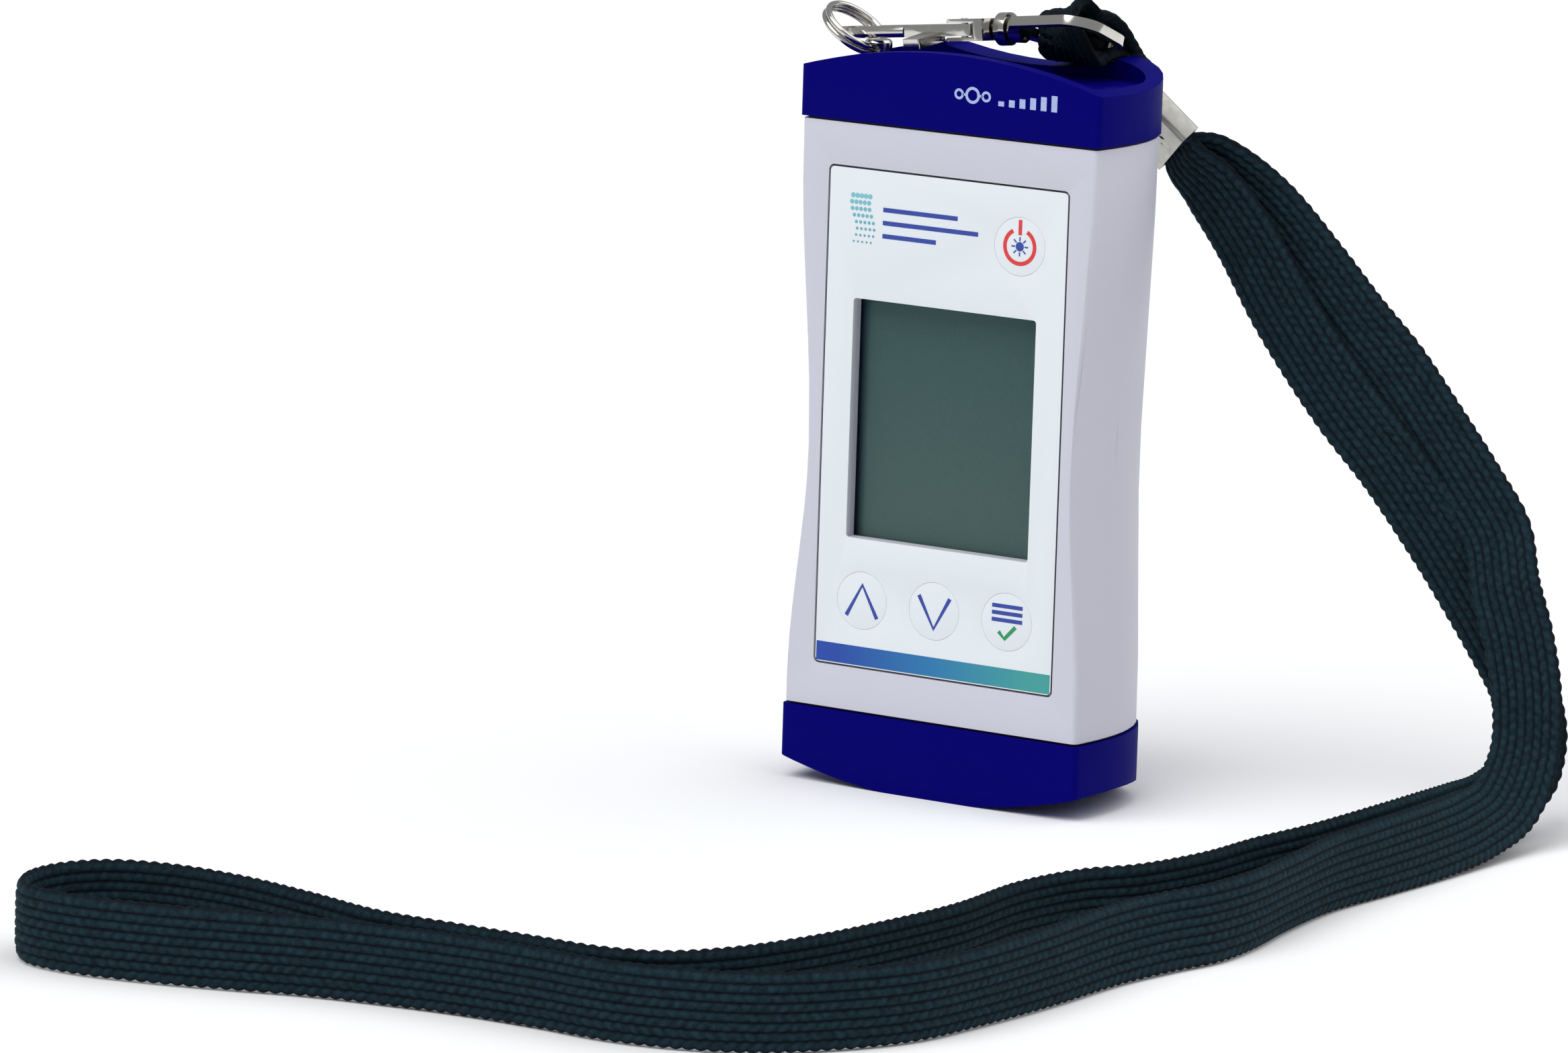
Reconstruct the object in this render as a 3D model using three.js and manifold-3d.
// Handheld carbon dioxide meter on a wrist and neck lanyard.
// Millimetres, +Z up, front face towards -Y, origin under the middle of the bottom cap.
import * as THREE from 'three';
import { mergeVertices } from 'three/addons/utils/BufferGeometryUtils.js';
import Module from 'manifold-3d';

const wasm = await Module();
wasm.setup();

// ---------------------------------------------------------------- driving dimensions
const HEIGHT = 108;
const DEPTH = 28;
const FRONT_HALF = 24.9; // half width of the flat front
const CORNER = 0.8; // rounding between front and side
const ARCH_RISE = 3.5; // how far each cap bows out over the front width
const ARCH_HALF = 24.4;
const FOOT_HALF = 7; // half width of the small flat foot in the middle of the bottom arc
const FOOT_SAG = 0.33; // and how much of the arc it takes off
const CAP = 11; // height of a cap at its seam
const SEAM = 0.35; // open seam between cap and sleeve
const OVERHANG = 0.35; // the caps stand this far outside the sleeve
const WALL = 2.2;
const FRONT_WALL = 2.8;
const CAVITY_STEP = 0.9; // the caps are this much thicker than the sleeve, so the spigots join them

const GRIP_Z = 49; // the waist is narrowest here
const GRIP_UP = 44;
const GRIP_DOWN = 34;
const GRIP_FRONT = 2.45; // waist inset at the front edge
const GRIP_RIDGE = 1.5; // and at the soft ridge half way back
const GRIP_BACK = 1.0;
const RIDGE_Y = -2.4;

const FOIL = { half: 19.85, bottom: 17.8, top: 90.1, front: -13.3, thick: 0.32 };
const FOIL_GAP = 0.3;
const FRAME_RUN = 4.4; // width of the sloped border around the foil
const FRAME_FALL = 0.5;
const POCKET_FLOOR = -12.95;
const WINDOW = { half: 15.3, bottom: 36.5, top: 71.4 };

const KEY_RADIUS = 4.2;
const KEY_CLEAR = 0.04;
const PLUNGER_RADIUS = 1.5;
const PLUNGER_END = -9.6;
const KEYS = [
  ['power', 12.15, 81.7],
  ['up', -12.2, 27.5],
  ['down', 0, 27.5],
  ['menu', 12.2, 27.5],
];

const BOARD_FRONT = -6.5;
const BOARD_THICK = 1.6;
const CELL_X = 7.6; // battery axes
const CELL_Y = 3.7;
const CELL_RADIUS = 7.1;
const SCREW_X = 19.2;
const SCREW_Y = 2;
const CELL_FOOT = 14.4;
const CELL_LENGTH = 50.3;

const TROUGH_FLOOR = 103.9;
const TROUGH_BACK = 8;
const RIM = 2.3;
const EYE_X = 20; // lanyard post, on the left
const VENT_X = 20.5; // gas inlet, on the right
const EYE_Y = -1.2;
const EYE_Z = 105.5;

const RING_RADIUS = 4.8;
const RING_LEAN = THREE.MathUtils.degToRad(36);
const HOOK = { x: -0.3, y: 1.6, z: 110.3, rise: 6.3, roll: 4 };
const EYE_RISE = 3; // the strap eye turns in the hook's collar, so it tips its own way
const EYE_ROLL = 21;

const STRAP_WIDTH = 10.4;
const STRAP_THICK = 1.2;
const CRIMP = { length: 10, width: 11.6, thick: 3.6, wall: 0.36 };

// ---------------------------------------------------------------- finishes
const finish = (color, roughness, metalness = 0) => ({ color, roughness, metalness });
const GREY = finish(0xc3c5d4, 0.5);
const BLUE = finish(0x140a6e, 0.42);
const RUBBER = finish(0x1b1c22, 0.8);
const WHITE = finish(0xe9f0f6, 0.4);
const GLASS = finish(0xb8c4c2, 0.1);
const LCD = finish(0x55706c, 0.25);
const CIRCUIT = finish(0x1f5a3a, 0.6);
const BLACK = finish(0x16171a, 0.6);
const NICKEL = finish(0xc9c7c0, 0.22, 1);
const STEEL = finish(0xb4b6b8, 0.35, 1);
const CELL = finish(0x2d6b46, 0.4, 0.3);
const FABRIC = finish(0x14191a, 0.9);

// ---------------------------------------------------------------- solid helpers
function solid(geometry) {
  const bare = geometry.index ? geometry.toNonIndexed() : geometry.clone();
  bare.deleteAttribute('normal');
  bare.deleteAttribute('uv');
  const merged = mergeVertices(bare, 1e-4);
  const mesh = new wasm.Mesh({
    numProp: 3,
    vertProperties: new Float32Array(merged.attributes.position.array),
    triVerts: new Uint32Array(merged.index.array),
  });
  return new wasm.Manifold(mesh);
}

function shown(manifold) {
  const mesh = manifold.getMesh();
  const geometry = new THREE.BufferGeometry();
  geometry.setAttribute('position', new THREE.BufferAttribute(mesh.vertProperties, 3));
  geometry.setIndex(new THREE.BufferAttribute(mesh.triVerts, 1));
  geometry.computeVertexNormals();
  return geometry;
}

const join = (first, ...rest) => rest.reduce((sum, next) => sum.add(next), first);
const cut = (first, ...rest) => rest.reduce((left, next) => left.subtract(next), first);

function box(x0, x1, y0, y1, z0, z1) {
  const geometry = new THREE.BoxGeometry(x1 - x0, y1 - y0, z1 - z0);
  return geometry.translate((x0 + x1) / 2, (y0 + y1) / 2, (z0 + z1) / 2);
}

function rod(radius, length, sides = 24) {
  return new THREE.CylinderGeometry(radius, radius, length, sides);
}

// A cylinder along Z from z0 to z1.
function upright(radius, x, y, z0, z1, sides = 24) {
  return rod(radius, z1 - z0, sides).rotateX(Math.PI / 2).translate(x, y, (z0 + z1) / 2);
}

// A cylinder along Y from y0 to y1.
function across(radius, x, z, y0, y1, sides = 24) {
  return rod(radius, y1 - y0, sides).translate(x, (y0 + y1) / 2, z);
}

// A profile of [radius, z] points turned about Z.
function turned(profile, sides) {
  const points = profile.map(([r, z]) => new THREE.Vector2(r, z));
  return new THREE.LatheGeometry(points, sides).rotateX(Math.PI / 2);
}

function extrude(shape, depth, options = {}) {
  return new THREE.ExtrudeGeometry(shape, { depth, bevelEnabled: false, curveSegments: 6, ...options });
}

function rectangle(x0, x1, y0, y1) {
  const shape = new THREE.Shape();
  shape.moveTo(x0, y0);
  shape.lineTo(x1, y0);
  shape.lineTo(x1, y1);
  shape.lineTo(x0, y1);
  shape.closePath();
  return shape;
}

function roundedRectangle(x0, x1, y0, y1, r) {
  const shape = new THREE.Shape();
  shape.moveTo(x0 + r, y0);
  shape.lineTo(x1 - r, y0);
  shape.absarc(x1 - r, y0 + r, r, -Math.PI / 2, 0);
  shape.lineTo(x1, y1 - r);
  shape.absarc(x1 - r, y1 - r, r, 0, Math.PI / 2);
  shape.lineTo(x0 + r, y1);
  shape.absarc(x0 + r, y1 - r, r, Math.PI / 2, Math.PI);
  shape.lineTo(x0, y0 + r);
  shape.absarc(x0 + r, y0 + r, r, Math.PI, 1.5 * Math.PI);
  return shape;
}

// A flat drawing in X and Z, given its thickness along Y.
function panel(shape, y0, y1, options = {}) {
  return extrude(shape, y1 - y0, options).rotateX(Math.PI / 2).translate(0, y1, 0);
}

const group = new THREE.Group();

function place(name, geometry, look) {
  const material = new THREE.MeshStandardMaterial(look);
  const mesh = new THREE.Mesh(geometry, material);
  mesh.name = name;
  group.add(mesh);
  return mesh;
}

// ---------------------------------------------------------------- housing
// Plan outline of the housing: flat front, sides that swell a little, back corners that roll away.
function outline(inset, frontInset = inset, backInset = inset) {
  const front = -DEPTH / 2 + frontInset;
  const back = DEPTH / 2 - backInset;
  const edge = FRONT_HALF - inset;
  const shape = new THREE.Shape();
  shape.moveTo(-edge + CORNER, front);
  shape.lineTo(edge - CORNER, front);
  shape.quadraticCurveTo(edge, front, edge + 0.1, front + CORNER);
  shape.bezierCurveTo(edge + 0.85, -8, edge + 0.9, -3, edge, 1);
  shape.bezierCurveTo(edge - 1.3, 7, edge - 4.4, back - 1.2, 14 - inset / 2, back);
  shape.lineTo(-14 + inset / 2, back);
  shape.bezierCurveTo(-edge + 4.4, back - 1.2, -edge + 1.3, 7, -edge, 1);
  shape.bezierCurveTo(-edge - 0.9, -3, -edge - 0.85, -8, -edge - 0.1, front + CORNER);
  shape.quadraticCurveTo(-edge, front, -edge + CORNER, front);
  return shape;
}

function ring(outer, inner, z0, z1) {
  const filled = extrude(outer, z1 - z0).translate(0, 0, z0);
  const hole = extrude(inner, z1 - z0 + 2).translate(0, 0, z0 - 1);
  return cut(solid(filled), solid(hole));
}

function gasket(z0) {
  return ring(outline(0.7), outline(WALL - 0.05, FRONT_WALL - 0.05), z0 + 0.04, z0 + SEAM - 0.04);
}

function waist(z) {
  const reach = z > GRIP_Z ? GRIP_UP : GRIP_DOWN;
  const t = Math.min(1, Math.abs(z - GRIP_Z) / reach);
  return (1 + Math.cos(Math.PI * t)) / 2;
}

function gripDepth(y) {
  const front = -DEPTH / 2;
  if (y < RIDGE_Y) {
    const t = (y - front) / (RIDGE_Y - front);
    const scoop = 0.35 * Math.sin(Math.PI * t);
    return THREE.MathUtils.lerp(GRIP_FRONT, GRIP_RIDGE, t * t) + scoop;
  }
  return THREE.MathUtils.lerp(GRIP_RIDGE, GRIP_BACK, (y - RIDGE_Y) / (DEPTH / 2 - RIDGE_Y));
}

// Draws the sides in around the grip.
function pinch(geometry) {
  const p = geometry.attributes.position;
  for (let i = 0; i < p.count; i += 1) {
    const inset = waist(p.getZ(i)) * gripDepth(p.getY(i));
    p.setX(i, p.getX(i) * (1 - inset / FRONT_HALF));
  }
  return geometry;
}

function screwBoss(side) {
  return solid(upright(3.3, side * SCREW_X, SCREW_Y, 14.6, 24));
}

// A length of the housing's hollow or solid section, drawn in at the grip.
function gripSection(shape, z0, z1, steps) {
  return solid(pinch(extrude(shape, z1 - z0, { steps }).translate(0, 0, z0)));
}

function foilFrame(draw, ...extra) {
  const half = FOIL.half + FOIL_GAP;
  return draw(-half, half, FOIL.bottom - FOIL_GAP, FOIL.top + FOIL_GAP, ...extra);
}

// The sloped border that leads down to the foil.
function slopedBorder() {
  const border = new THREE.ExtrudeGeometry(foilFrame(rectangle), {
    depth: 3,
    bevelEnabled: true,
    bevelThickness: FRAME_FALL,
    bevelSize: FRAME_RUN,
    bevelSegments: 1,
  });
  return border.rotateX(Math.PI / 2).translate(0, FOIL.front - 0.05 - FRAME_FALL, 0);
}

function keyWell(x, z) {
  const recess = across(KEY_RADIUS + 0.2, x, z, -14, POCKET_FLOOR + 0.5, 36);
  const through = across(PLUNGER_RADIUS + 0.3, x, z, -14, -10);
  return join(solid(recess), solid(through));
}

function housingSleeve() {
  const z0 = CAP + SEAM;
  const z1 = HEIGHT - CAP - SEAM;
  const outer = gripSection(outline(OVERHANG, 0.2, 0.3), z0, z1, 18);
  const inner = gripSection(outline(WALL, FRONT_WALL, WALL), z0 - 1, z1 + 1, 10);
  const bosses = [-1, 1].map((side) => {
    const bore = solid(upright(1.4, side * SCREW_X, SCREW_Y, 13, 26));
    return cut(screwBoss(side), bore).intersect(outer);
  });
  const pocket = panel(foilFrame(roundedRectangle, 0.9), -15, POCKET_FLOOR);
  const window = box(-WINDOW.half, WINDOW.half, -14, -10, WINDOW.bottom, WINDOW.top);
  const wells = KEYS.map(([, x, z]) => keyWell(x, z));
  const shell = join(cut(outer, inner), ...bosses);
  return cut(shell, solid(slopedBorder()), solid(pocket), solid(window), ...wells);
}

// Everything between two shallow arcs, one bowing up over the top and one down under the bottom.
function archBlock() {
  const wide = 40;
  const steps = 32;
  const corners = [];
  for (let i = 0; i <= steps; i += 1) {
    const x = -wide + (2 * wide * i) / steps;
    const z = ARCH_RISE * (x / ARCH_HALF) ** 2 - FOOT_SAG;
    if (Math.abs(x) > FOOT_HALF) {
      corners.push(new THREE.Vector2(x, Math.max(0, z)));
    }
  }
  for (let i = steps; i >= 0; i -= 1) {
    const x = -wide + (2 * wide * i) / steps;
    corners.push(new THREE.Vector2(x, HEIGHT - ARCH_RISE * (x / ARCH_HALF) ** 2));
  }
  return solid(panel(new THREE.Shape(corners), -20, 20));
}

function spigot(z0, z1) {
  const gap = 0.5;
  const wall = 1.4;
  const outer = outline(WALL + gap, FRONT_WALL + gap);
  const inner = outline(WALL + gap + wall, FRONT_WALL + gap + wall);
  return ring(outer, inner, z0, z1);
}

// The top cap's recess: a flat floor behind the front rim, with a dip in the back wall for the strap.
function trough() {
  const half = FRONT_HALF - RIM + 0.4;
  const front = -DEPTH / 2 + RIM;
  const shape = new THREE.Shape();
  shape.moveTo(-half + 0.6, front);
  shape.lineTo(half - 0.6, front);
  shape.bezierCurveTo(half + 0.5, front + 3, half + 0.6, -2, half, 1);
  shape.bezierCurveTo(half - 1.2, 5, half - 4, TROUGH_BACK, half - 8, TROUGH_BACK);
  shape.lineTo(-half + 8, TROUGH_BACK);
  shape.bezierCurveTo(-half + 4, TROUGH_BACK, -half + 1.2, 5, -half, 1);
  shape.bezierCurveTo(-half - 0.6, -2, -half - 0.5, front + 3, -half + 0.6, front);
  return solid(extrude(shape, 10).translate(0, 0, TROUGH_FLOOR));
}

function strapDip() {
  const shape = new THREE.Shape();
  shape.moveTo(-16, HEIGHT + 2);
  for (let i = 0; i <= 16; i += 1) {
    const x = -14 + (28 * i) / 16;
    shape.lineTo(x, TROUGH_FLOOR + 0.8 + 1.4 * (x / 14) ** 2);
  }
  shape.lineTo(16, HEIGHT + 2);
  return solid(panel(shape, 4, 16));
}

// The space inside a cap.
function capCavity(depth, z0) {
  const shape = outline(WALL + CAVITY_STEP, FRONT_WALL + CAVITY_STEP);
  return solid(extrude(shape, depth).translate(0, 0, z0));
}

// A round hole with a wide conical mouth at the recess's floor.
function vent() {
  const bore = upright(1.45, VENT_X, EYE_Y, 101, 110);
  const mouth = new THREE.CylinderGeometry(2.3, 1.45, 0.8, 24);
  mouth.rotateX(Math.PI / 2).translate(VENT_X, EYE_Y, TROUGH_FLOOR - 0.3);
  return join(solid(bore), solid(mouth));
}

function topCap() {
  const z0 = HEIGHT - CAP;
  const body = solid(extrude(outline(0), 14).translate(0, 0, z0)).intersect(archBlock());
  const postHole = solid(upright(1.5, -EYE_X, EYE_Y, 98, 106));
  const shell = cut(body, capCavity(5.2, z0 - 1), trough(), strapDip(), vent(), postHole);
  return join(shell, spigot(z0 - 3, z0 + 2));
}

// One upright cylinder at each of the two cap screws.
function screwPair(radius, z0, z1) {
  return [-1, 1].map((side) => solid(upright(radius, side * SCREW_X, SCREW_Y, z0, z1)));
}

function bottomCap() {
  const body = solid(extrude(outline(0), CAP + 2).translate(0, 0, -2)).intersect(archBlock());
  const towers = screwPair(2.9, 6, 14.2);
  const counterbores = screwPair(2.6, -2, 5.1);
  const holes = screwPair(1.45, -2, 16);
  const hollow = cut(body, capCavity(10, 6.2));
  const whole = join(hollow, spigot(CAP - 2, CAP + 3.2), ...towers);
  return cut(whole, ...counterbores, ...holes);
}

place('housing_sleeve', shown(housingSleeve()), GREY);
place('top_cap', shown(topCap()), BLUE);
place('bottom_cap', shown(bottomCap()), BLUE);
place('bottom_gasket', shown(gasket(CAP)), RUBBER);
place('top_gasket', shown(gasket(HEIGHT - CAP - SEAM)), RUBBER);

function capScrew(side) {
  const x = side * SCREW_X;
  const head = solid(upright(2.3, x, SCREW_Y, 3.4, 5.05));
  const shank = solid(upright(1.15, x, SCREW_Y, 5, 22, 12));
  const slots = [
    solid(box(x - 1.5, x + 1.5, SCREW_Y - 0.3, SCREW_Y + 0.3, 3, 4.2)),
    solid(box(x - 0.3, x + 0.3, SCREW_Y - 1.5, SCREW_Y + 1.5, 3, 4.2)),
  ];
  return cut(join(head, shank), ...slots);
}

place('cap_screw_left', shown(capScrew(-1)), STEEL);
place('cap_screw_right', shown(capScrew(1)), STEEL);

// ---------------------------------------------------------------- front foil, window and keys
function frontFoil() {
  const shape = roundedRectangle(-FOIL.half, FOIL.half, FOIL.bottom, FOIL.top, 0.7);
  shape.holes.push(roundedRectangle(-WINDOW.half, WINDOW.half, WINDOW.bottom, WINDOW.top, 0.5));
  for (const [, x, z] of KEYS) {
    const hole = new THREE.Path();
    hole.absarc(x, z, KEY_RADIUS + KEY_CLEAR, 0, 2 * Math.PI);
    shape.holes.push(hole);
  }
  return panel(shape, FOIL.front, FOIL.front + FOIL.thick, { curveSegments: 12 });
}

function key(x, z) {
  const disc = new THREE.Shape();
  disc.absarc(x, z, KEY_RADIUS, 0, 2 * Math.PI);
  const face = solid(panel(disc, FOIL.front, FOIL.front + FOIL.thick, { curveSegments: 12 }));
  return join(face, solid(across(PLUNGER_RADIUS, x, z, FOIL.front + 0.1, PLUNGER_END)));
}

function keySwitch(x, z) {
  const body = solid(box(x - 2.2, x + 2.2, -9, BOARD_FRONT - 0.04, z - 2.2, z + 2.2));
  return join(body, solid(across(0.9, x, z, -9.3, -8.8, 16)));
}

place('front_foil', frontFoil(), WHITE);
for (const [name, x, z] of KEYS) {
  place(`${name}_key`, shown(key(x, z)), WHITE);
  place(`${name}_switch`, shown(keySwitch(x, z)), BLACK);
}
place(
  'display_window',
  box(-WINDOW.half + 0.3, WINDOW.half - 0.3, -12.9, -11.9, WINDOW.bottom + 0.3, WINDOW.top - 0.3),
  GLASS,
);

// ---------------------------------------------------------------- electronics
const boardBack = BOARD_FRONT + BOARD_THICK;
place('display_glass', box(-17.3, 17.3, -10.7, -8.3, 33.4, 74.6), LCD);
place('display_backlight', box(-16.5, 16.5, -8.25, BOARD_FRONT - 0.05, 36.5, 74), WHITE);
place('display_connector_strip', box(-16, 16, -8.25, BOARD_FRONT - 0.05, 33.6, 35.6), RUBBER);
place('main_board', box(-18.6, 18.6, BOARD_FRONT, boardBack, 16, 93), CIRCUIT);
place('processor_chip', box(-17, -8, boardBack + 0.05, boardBack + 1.1, 69.5, 78.5), BLACK);
place('buzzer', across(4.6, -12.4, 86, boardBack + 0.05, boardBack + 4), BLACK);

// The infrared gas cell: a gold-lined chamber with a raised inlet grid on its top end.
function gasCell() {
  const chamber = solid(extrude(roundedRectangle(-6, 16, -4, 8, 2.5), 18).translate(0, 0, 73));
  const grid = solid(upright(4, 8, 2, 90, 92.5));
  return join(chamber, grid);
}

place('gas_cell', shown(gasCell()), finish(0xb08d4a, 0.35, 0.9));
place('inlet_membrane', upright(1.5, VENT_X, EYE_Y, 100.5, 101.1), WHITE);

// ---------------------------------------------------------------- batteries and contacts
function cradle() {
  const shape = new THREE.Shape();
  const r = CELL_RADIUS + 0.7;
  shape.absarc(CELL_X, CELL_Y, r, -Math.PI / 2, Math.PI / 2);
  shape.absarc(-CELL_X, CELL_Y, r, Math.PI / 2, 1.5 * Math.PI);
  const body = solid(extrude(shape, 51, { curveSegments: 14 }).translate(0, 0, 16));
  const bores = [-1, 1].map((side) => {
    return solid(upright(CELL_RADIUS + 0.2, side * CELL_X, CELL_Y, 10, 70, 32));
  });
  return cut(body, ...bores);
}

// An AA cell, button end up.
function cell() {
  const profile = [
    [0, 0],
    [6.9, 0],
    [CELL_RADIUS, 0.3],
    [CELL_RADIUS, 48.6],
    [6.7, 49],
    [2.8, 49],
    [2.7, CELL_LENGTH],
    [0, CELL_LENGTH],
  ];
  return turned(profile, 32);
}

function springCurve(x, z0, height) {
  const curve = new THREE.Curve();
  curve.getPoint = (t) => {
    const angle = t * 3 * 2 * Math.PI;
    const radius = 4.2 - 1.6 * t;
    const y = CELL_Y + radius * Math.sin(angle);
    return new THREE.Vector3(x + radius * Math.cos(angle), y, z0 + height * t);
  };
  return curve;
}

function batterySpring(side) {
  const wire = new THREE.Shape();
  wire.absarc(0, 0, 0.35, 0, 2 * Math.PI);
  return new THREE.ExtrudeGeometry(wire, {
    steps: 36,
    curveSegments: 3,
    bevelEnabled: false,
    extrudePath: springCurve(side * CELL_X, 8.6, 5),
  });
}

place('battery_cradle', shown(cradle()), BLACK);
place('battery_left', cell().translate(-CELL_X, CELL_Y, CELL_FOOT), CELL);
place('battery_right', cell().rotateX(Math.PI).translate(CELL_X, CELL_Y, CELL_FOOT + CELL_LENGTH), CELL);
place('battery_spring_left', batterySpring(-1), STEEL);
place('battery_spring_right', batterySpring(1), STEEL);
place('bridge_contact', box(-12.5, 12.5, CELL_Y - 4, CELL_Y + 4, 7.4, 7.9), STEEL);
place('upper_contact_left', upright(5, -CELL_X, CELL_Y, 65, 65.5), STEEL);
place('upper_contact_right', upright(5, CELL_X, CELL_Y, 65, 65.5), STEEL);

// ---------------------------------------------------------------- lanyard post and split ring
function eyeletPost() {
  const profile = [
    [0, 99.4],
    [1.2, 99.4],
    [1.2, TROUGH_FLOOR + 0.05],
    [2, TROUGH_FLOOR + 0.05],
    [2, 106.9],
    [1.7, 107.25],
    [1, 107.4],
    [0, 107.4],
  ];
  const post = turned(profile, 28).translate(-EYE_X, EYE_Y, 0);
  return cut(solid(post), solid(across(1.4, -EYE_X, EYE_Z, -6, 4, 20)));
}

place('lanyard_post', shown(eyeletPost()), NICKEL);

function postClip() {
  const washer = solid(upright(2, -EYE_X, EYE_Y, 99.8, 100.4));
  return shown(cut(washer, solid(upright(1.4, -EYE_X, EYE_Y, 99, 102))));
}

place('post_clip', postClip(), STEEL);

// Two coils of wire side by side, with the groove between them.
function splitRing() {
  const w = 1; // half the two coils' width
  const t = 0.475; // half the wire's thickness
  const wire = [
    [-t, -w + 0.25],
    [-t + 0.25, -w],
    [t - 0.25, -w],
    [t, -w + 0.25],
    [t, -0.22],
    [t - 0.2, 0],
    [t, 0.22],
    [t, w - 0.25],
    [t - 0.25, w],
    [-t + 0.25, w],
    [-t, w - 0.25],
    [-t, 0.22],
    [-t + 0.2, 0],
    [-t, -0.22],
    [-t, -w + 0.25],
  ];
  const geometry = turned(wire.map(([r, z]) => [RING_RADIUS + r, z]), 40);
  geometry.translate(-RING_RADIUS - 0.2, 0, 0);
  geometry.rotateY(RING_LEAN);
  return geometry.translate(-EYE_X, EYE_Y, EYE_Z);
}

place('split_ring', splitRing(), NICKEL);

// ---------------------------------------------------------------- snap hook
// The hook is drawn flat: x along its axis, nose at -x, and the gate on the -y side.
function hookFrame(rise, roll) {
  const tip = new THREE.Matrix4().makeRotationY(-THREE.MathUtils.degToRad(rise));
  const turn = new THREE.Matrix4().makeRotationX(-THREE.MathUtils.degToRad(roll));
  return new THREE.Matrix4().makeTranslation(HOOK.x, HOOK.y, HOOK.z).multiply(tip).multiply(turn);
}

const hookPlace = hookFrame(HOOK.rise, HOOK.roll);
const eyePlace = hookFrame(EYE_RISE, EYE_ROLL);

const BAR_Y = 4.3; // finger and spine lie this far from the hook's axis
const BEND_X = -22.9;
const FINGER_END = -14.35;
const SPINE = 16.5;
const PIN_X = -4.4;
const PIN_Y = -BAR_Y + 0.1;
const EYE_CORNER = { x: 13, y: 2.4 };

// A cylinder along the hook's own axis, centred at x.
function axle(radius, length, x, sides) {
  return solid(rod(radius, length, sides).rotateZ(Math.PI / 2).translate(x, 0, 0));
}

class NoseCurve extends THREE.Curve {
  getPoint(t) {
    const straight = Math.abs(FINGER_END - BEND_X);
    const arc = Math.PI * BAR_Y;
    const s = t * (straight + arc + SPINE);
    if (s < straight) {
      return new THREE.Vector3(FINGER_END - s, -BAR_Y, 0);
    }
    if (s < straight + arc) {
      const a = (s - straight) / BAR_Y;
      return new THREE.Vector3(BEND_X - BAR_Y * Math.sin(a), -BAR_Y * Math.cos(a), 0);
    }
    return new THREE.Vector3(BEND_X + s - straight - arc, BAR_Y, 0);
  }
}

function hookBody() {
  const bar = new THREE.Shape();
  bar.absarc(0, 0, 0.88, 0, 2 * Math.PI);
  const nose = new THREE.ExtrudeGeometry(bar, {
    steps: 56,
    curveSegments: 5,
    bevelEnabled: false,
    extrudePath: new NoseCurve(),
  });
  const plate = roundedRectangle(-7.4, -1.2, -5.2, 5.2, 1.2);
  const fork = solid(extrude(plate, 3.2, { curveSegments: 4 }).translate(0, 0, -1.6));
  const pocket = solid(box(-9, -2.4, -6, 2.4, -1.05, 1.05));
  const pinHole = solid(upright(0.6, PIN_X, PIN_Y, -3, 3, 12));
  const collar = axle(2.4, 1.7, 0, 28);
  const neck = axle(1.3, 1.6, -1, 16);
  const whole = join(cut(fork, pocket, pinHole), cut(solid(nose), pocket), collar, neck);
  return shown(cut(whole, axle(0.7, 8, 0, 16))).applyMatrix4(hookPlace);
}

function gate() {
  const blade = new THREE.Shape();
  blade.moveTo(FINGER_END + 0.35, -BAR_Y - 0.95);
  blade.lineTo(-4, -BAR_Y - 0.95);
  blade.absarc(-4, -BAR_Y + 0.02, 0.97, -Math.PI / 2, Math.PI / 2);
  blade.lineTo(FINGER_END + 0.35, -BAR_Y + 0.99);
  const bar = solid(extrude(blade, 1.7, { curveSegments: 6 }).translate(0, 0, -0.85));
  const tab = extrude(roundedRectangle(-10.6, -7.8, -7.3, 0.4, 0.5), 1.5).translate(0, 0, -1.5);
  const thumb = solid(tab.rotateX(THREE.MathUtils.degToRad(9)).translate(0, -BAR_Y, 0));
  const hole = solid(upright(0.68, PIN_X, PIN_Y, -3, 3, 16));
  return shown(cut(join(bar, thumb), hole)).applyMatrix4(hookPlace);
}

function gatePin() {
  return upright(0.5, PIN_X, PIN_Y, -1.75, 1.75, 12).applyMatrix4(hookPlace);
}

// Half of the strap eye's outline on each side: narrow at the shoulder, rounded at the far corners.
function eyeOutline(shape, neckX, neckY, cheekX, cheekY, radius) {
  shape.moveTo(neckX, -neckY);
  shape.lineTo(cheekX, -cheekY);
  shape.absarc(EYE_CORNER.x, -EYE_CORNER.y, radius, -Math.PI / 2, 0);
  shape.absarc(EYE_CORNER.x, EYE_CORNER.y, radius, 0, Math.PI / 2);
  shape.lineTo(cheekX, cheekY);
  shape.lineTo(neckX, neckY);
  shape.closePath();
  return shape;
}

// The swivel eye: a riveted stem, a shoulder and a flat loop for the strap.
function swivelEye() {
  const outer = eyeOutline(new THREE.Shape(), 1.5, 2, 3.2, 4.6, 4.5);
  outer.holes.push(eyeOutline(new THREE.Path(), 4, 1.3, 4.7, 3.6, 3.1));
  const loop = solid(extrude(outer, 1.4, { curveSegments: 8 }).translate(0, 0, -0.7));
  const shoulder = axle(1.9, 2, 2.2, 20);
  const stem = axle(0.5, 4.4, -0.6, 14);
  const rivet = axle(0.9, 0.4, -2.8, 16);
  return shown(join(loop, shoulder, stem, rivet)).applyMatrix4(eyePlace);
}

place('hook_body', hookBody(), NICKEL);
place('hook_gate', gate(), NICKEL);
place('gate_pin', gatePin(), STEEL);
place('swivel_eye', swivelEye(), NICKEL);

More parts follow.
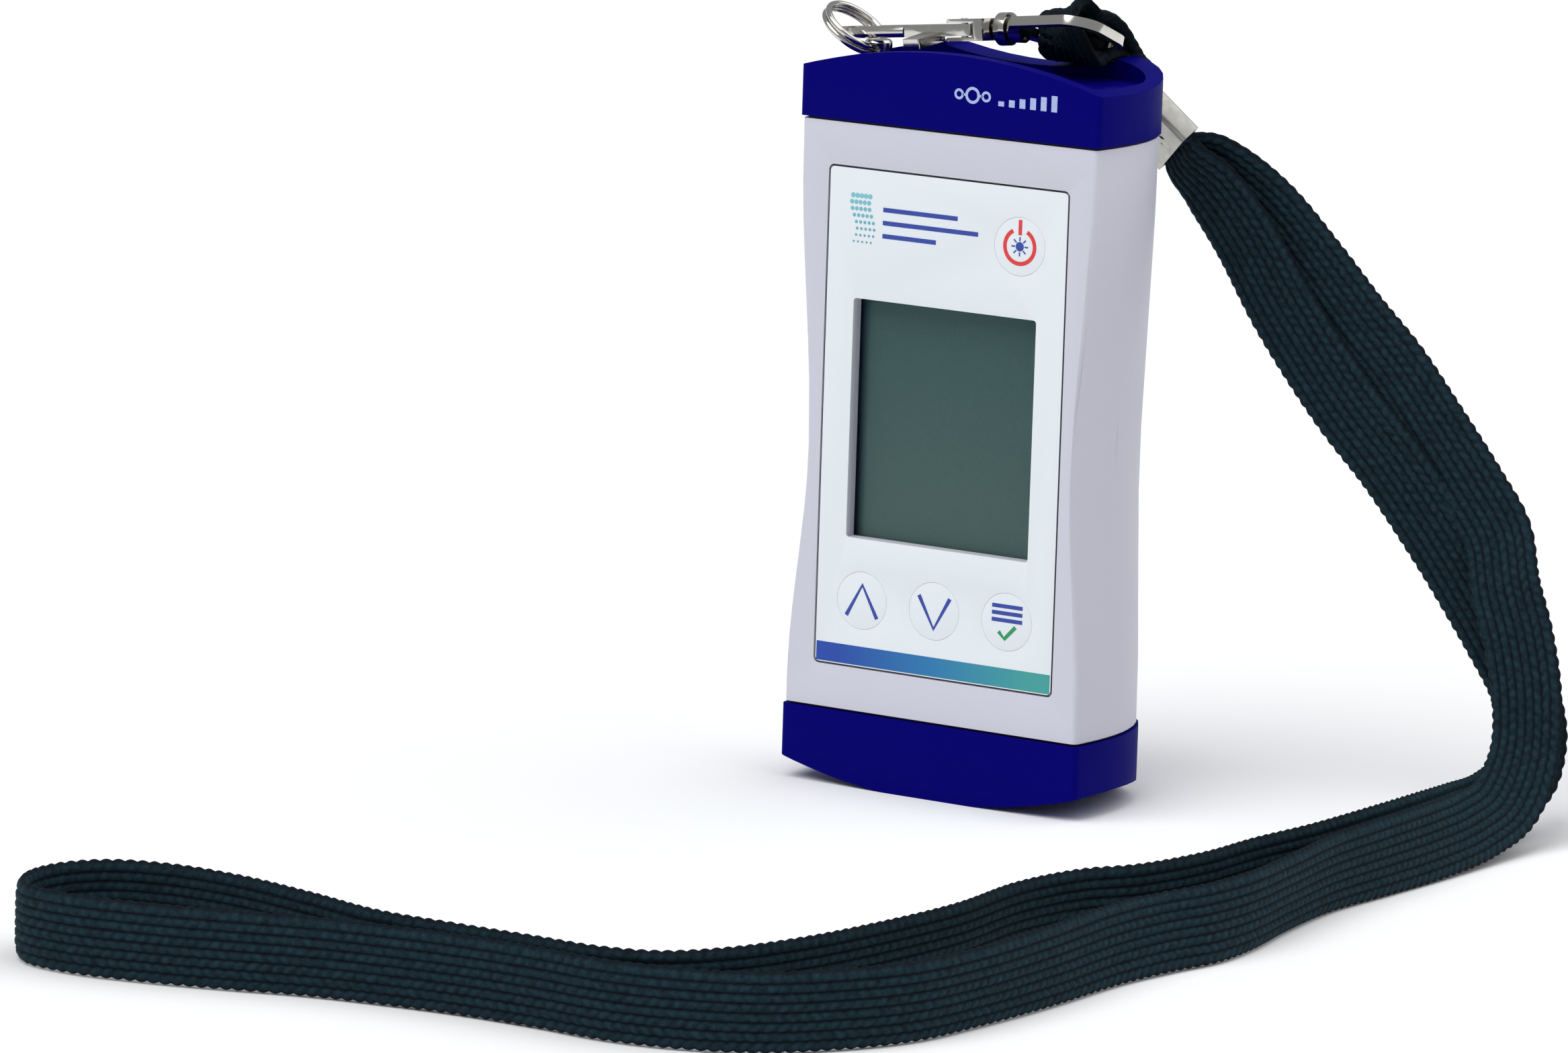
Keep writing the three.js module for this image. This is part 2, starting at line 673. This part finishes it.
// ---------------------------------------------------------------- lanyard
// Each strap is a flat section carried along hand-set points. A point is x, y, z of the middle of
// the strap and then the direction of its upper edge.
function strapGeometry(points, steps) {
  const places = points.map(([x, y, z]) => new THREE.Vector3(x, y, z));
  const edges = points.map(([, , , x, y, z]) => new THREE.Vector3(x, y, z));
  const middle = new THREE.CatmullRomCurve3(places, false, 'centripetal');
  const edge = new THREE.CatmullRomCurve3(edges, false, 'centripetal');
  const section = new THREE.Shape();
  const w = STRAP_WIDTH / 2;
  const t = STRAP_THICK / 2;
  section.moveTo(-w, -t / 3);
  section.lineTo(-w + 0.5, -t);
  section.lineTo(w - 0.5, -t);
  section.lineTo(w, -t / 3);
  section.lineTo(w, t / 3);
  section.lineTo(w - 0.5, t);
  section.lineTo(-w + 0.5, t);
  section.lineTo(-w, t / 3);
  section.closePath();
  const geometry = extrude(section, 1, { steps });
  const p = geometry.attributes.position;
  for (let i = 0; i < p.count; i += 1) {
    const u = THREE.MathUtils.clamp(p.getZ(i), 0, 1);
    const at = middle.getPoint(u);
    const along = middle.getTangent(u);
    const normal = new THREE.Vector3().crossVectors(along, edge.getPoint(u)).normalize();
    const width = new THREE.Vector3().crossVectors(normal, along).normalize();
    at.addScaledVector(width, p.getX(i)).addScaledVector(normal, p.getY(i));
    p.setXYZ(i, at.x, at.y, at.z);
  }
  return geometry;
}

// Crimp frame: along the strap, across its width and through its thickness.
const crimpAlong = new THREE.Vector3(0.699, 0.227, -0.676).normalize();
const crimpAcross = new THREE.Vector3(-0.738, 0.524, -0.424);
crimpAcross.addScaledVector(crimpAlong, -crimpAcross.dot(crimpAlong)).normalize();
const crimpThrough = new THREE.Vector3().crossVectors(crimpAlong, crimpAcross);
const crimpEnd = new THREE.Vector3(16.8, 22.6, 92.6);

function crimp() {
  const { length, width, thick, wall } = CRIMP;
  const outer = roundedRectangle(-width / 2, width / 2, -thick / 2, thick / 2, 0.7);
  outer.holes.push(
    roundedRectangle(-width / 2 + wall, width / 2 - wall, -thick / 2 + wall, thick / 2 - wall, 0.3),
  );
  const through = crimpThrough.clone().negate();
  const basis = new THREE.Matrix4().makeBasis(crimpAcross, through, crimpAlong.clone().negate());
  const tube = extrude(outer, length, { curveSegments: 4 });
  tube.applyMatrix4(basis).translate(crimpEnd.x, crimpEnd.y, crimpEnd.z);
  return tube;
}

place('crimp_sleeve', crimp(), NICKEL);

// A point inside the crimp, so far back from its mouth and so far through its thickness.
function inCrimp(back, through) {
  const at = crimpEnd.clone().addScaledVector(crimpAlong, -back).addScaledVector(crimpThrough, through);
  return [at.x, at.y, at.z, crimpAcross.x, crimpAcross.y, crimpAcross.z];
}

const LAYER = 0.72; // half the distance between the two layers in the crimp
const lanyardRoute = [
  inCrimp(4.6, LAYER),
  inCrimp(1.6, LAYER),
  [18.4, 22.4, 90.7, -0.76, 0.4, -0.46],
  [22.2, 22.9, 87.4, -0.8, 0.15, -0.55],
  [27.9, 23, 81, -0.8, 0, -0.58],
  [35.4, 23, 70.5, -0.79, -0.14, -0.58],
  [45.5, 23, 58.6, -0.77, -0.18, -0.6],
  [53.7, 23.5, 50.2, -0.77, -0.18, -0.6],
  [62.2, 25, 39.2, -0.82, -0.2, -0.52],
  [66.2, 26, 33.2, -0.86, -0.2, -0.45],
  [70.2, 27, 26.9, -0.9, -0.2, -0.35],
  [73.8, 28.2, 20, -0.95, -0.15, -0.2],
  [75.6, 28.2, 13.8, -0.96, -0.1, 0.05],
  [76.5, 24.6, 8.6, -0.9, 0, 0.35],
  [77, 16.5, 5.9, -0.78, 0, 0.6],
  [77.4, 5, 5.4, -0.6, 0, 0.8],
  [77.5, -8, 5.4, -0.35, 0, 0.94],
  [77, -22, 5.5, -0.15, 0, 1],
  [75.8, -36, 5.5, 0, 0, 1],
  [74.3, -49, 5.5, 0, 0, 1],
  [73.6, -62, 5.5, 0, 0, 1],
  [70.6, -74.5, 5.5, 0, 0, 1],
  [66.4, -82, 5.5, 0, 0, 1],
  [64, -94, 5.5, 0, 0, 1],
  [64.6, -111, 5.5, 0, 0, 1],
  [62.8, -127, 5.5, 0, 0, 1],
  [60, -141, 5.5, 0, 0, 1],
  [56, -152, 5.5, 0, 0, 1],
  [50.5, -159.5, 5.5, 0, 0, 1],
  [43, -162.5, 5.5, 0, 0, 1],
  [33, -163, 5.5, 0, 0, 1],
  [21, -163.6, 5.5, 0, 0, 1],
  [9, -163.8, 5.5, 0, 0, 1],
  [-4, -160.8, 5.5, 0, 0, 1],
  [-17, -158.6, 5.5, 0, 0, 1],
  [-28, -159, 5.5, 0, 0, 1],
  [-35.6, -162.2, 5.5, 0, 0, 1],
  [-39.4, -168.2, 5.5, 0, 0, 1],
  [-39.2, -175.4, 5.5, 0, 0, 1],
  [-35, -180.8, 5.5, 0, 0, 1],
  [-27, -182, 5.5, 0, 0, 1],
  [-15.3, -179.6, 5.5, 0, 0, 1],
  [-5.5, -176.3, 5.5, 0, 0, 1],
  [4, -172.8, 5.5, 0, 0, 1],
  [14.7, -170.3, 5.5, 0, 0, 1],
  [25.3, -168.6, 5.5, 0, 0, 1],
  [37, -168, 5.5, 0, 0, 1],
  [47.8, -168.2, 5.5, 0, 0, 1],
  [57, -166.2, 5.5, 0, 0, 1],
  [66.6, -161.3, 5.5, 0, 0, 1],
  [73.8, -152.6, 5.5, 0, 0, 1],
  [78.4, -143.3, 5.5, 0, 0, 1],
  [80.6, -129.6, 5.5, 0, 0, 1],
  [81.4, -114.7, 5.5, -0.1, 0, 1],
  [81.2, -98, 5.4, -0.25, 0, 0.97],
  [82.4, -87, 5.3, -0.35, 0, 0.94],
  [84.6, -78.5, 5.4, -0.25, 0, 0.97],
  [85, -69, 5.5, -0.1, 0, 1],
  [83.4, -56, 5.5, 0, 0, 1],
  [81.8, -41, 5.5, -0.05, 0, 1],
  [82, -27, 5.4, -0.2, 0, 0.98],
  [82, -13, 5.2, -0.4, 0, 0.92],
  [81.4, 1, 5.3, -0.65, 0, 0.76],
  [80.6, 11.6, 7, -0.85, 0, 0.5],
  [79.8, 18.2, 13, -0.97, -0.05, 0.1],
  [78.4, 20.6, 20.8, -0.96, -0.15, -0.15],
  [75.8, 22.2, 28.4, -0.93, -0.2, -0.3],
  [72.8, 23.4, 35, -0.88, -0.22, -0.42],
  [70, 25.6, 41.8, -0.84, -0.22, -0.5],
  [65.4, 26, 47.9, -0.8, -0.2, -0.55],
  [57.6, 26, 57.3, -0.77, -0.2, -0.6],
  [51.8, 26, 64, -0.75, -0.18, -0.64],
  [45.4, 26, 70, -0.72, -0.15, -0.68],
  [38.5, 26, 77, -0.68, -0.1, -0.72],
  [30.3, 26, 84.9, -0.66, 0.05, -0.74],
  [23.2, 25.3, 90.2, -0.7, 0.3, -0.62],
  [19, 24.3, 92.4, -0.74, 0.48, -0.47],
  inCrimp(1.6, -LAYER),
  inCrimp(4.6, -LAYER),
];
place('lanyard_strap', strapGeometry(lanyardRoute, 80), FABRIC);

// The short loop from the crimp, over the back of the cap, round the far side of the swivel eye and
// down through it.
const tabRoute = [
  inCrimp(5.4, LAYER),
  inCrimp(8, LAYER),
  inCrimp(10.6, LAYER),
  inCrimp(12.6, LAYER),
  [8.2, 18.9, 103.8, -0.73, 0.46, -0.48],
  [9, 16.1, 105.6, -0.95, 0.05, -0.2],
  [9.5, 13.6, 107.5, -0.97, -0.15, 0],
  [9.6, 11.5, 109.1, -0.97, -0.15, -0.05],
  [9.3, 9.8, 110.7, -0.95, 0, -0.2],
  [8.9, 7.8, 111.9, -0.86, 0.3, -0.33],
  [8.4, 5.6, 112.9, -0.8, 0.45, -0.18],
  [8.4, 3.4, 112.8, -0.7, 0.62, -0.12],
  [9.4, 1.4, 111, -0.76, 0.6, -0.12],
  [10.6, 1.1, 109.2, -0.88, 0.42, -0.08],
  [9.8, 3.4, 107.4, -0.95, 0.2, -0.03],
  [8.9, 7.4, 106.8, -0.97, 0, -0.06],
  [8.2, 12, 106.7, -0.97, 0, -0.08],
  [7.3, 15.8, 105.5, -0.93, 0.2, -0.2],
  [7, 18, 103.1, -0.85, 0.38, -0.35],
  inCrimp(12.2, -LAYER),
  inCrimp(10.4, -LAYER),
  inCrimp(8, -LAYER),
  inCrimp(5.4, -LAYER),
];
place('eye_strap', strapGeometry(tabRoute, 48), FABRIC);

export default group;
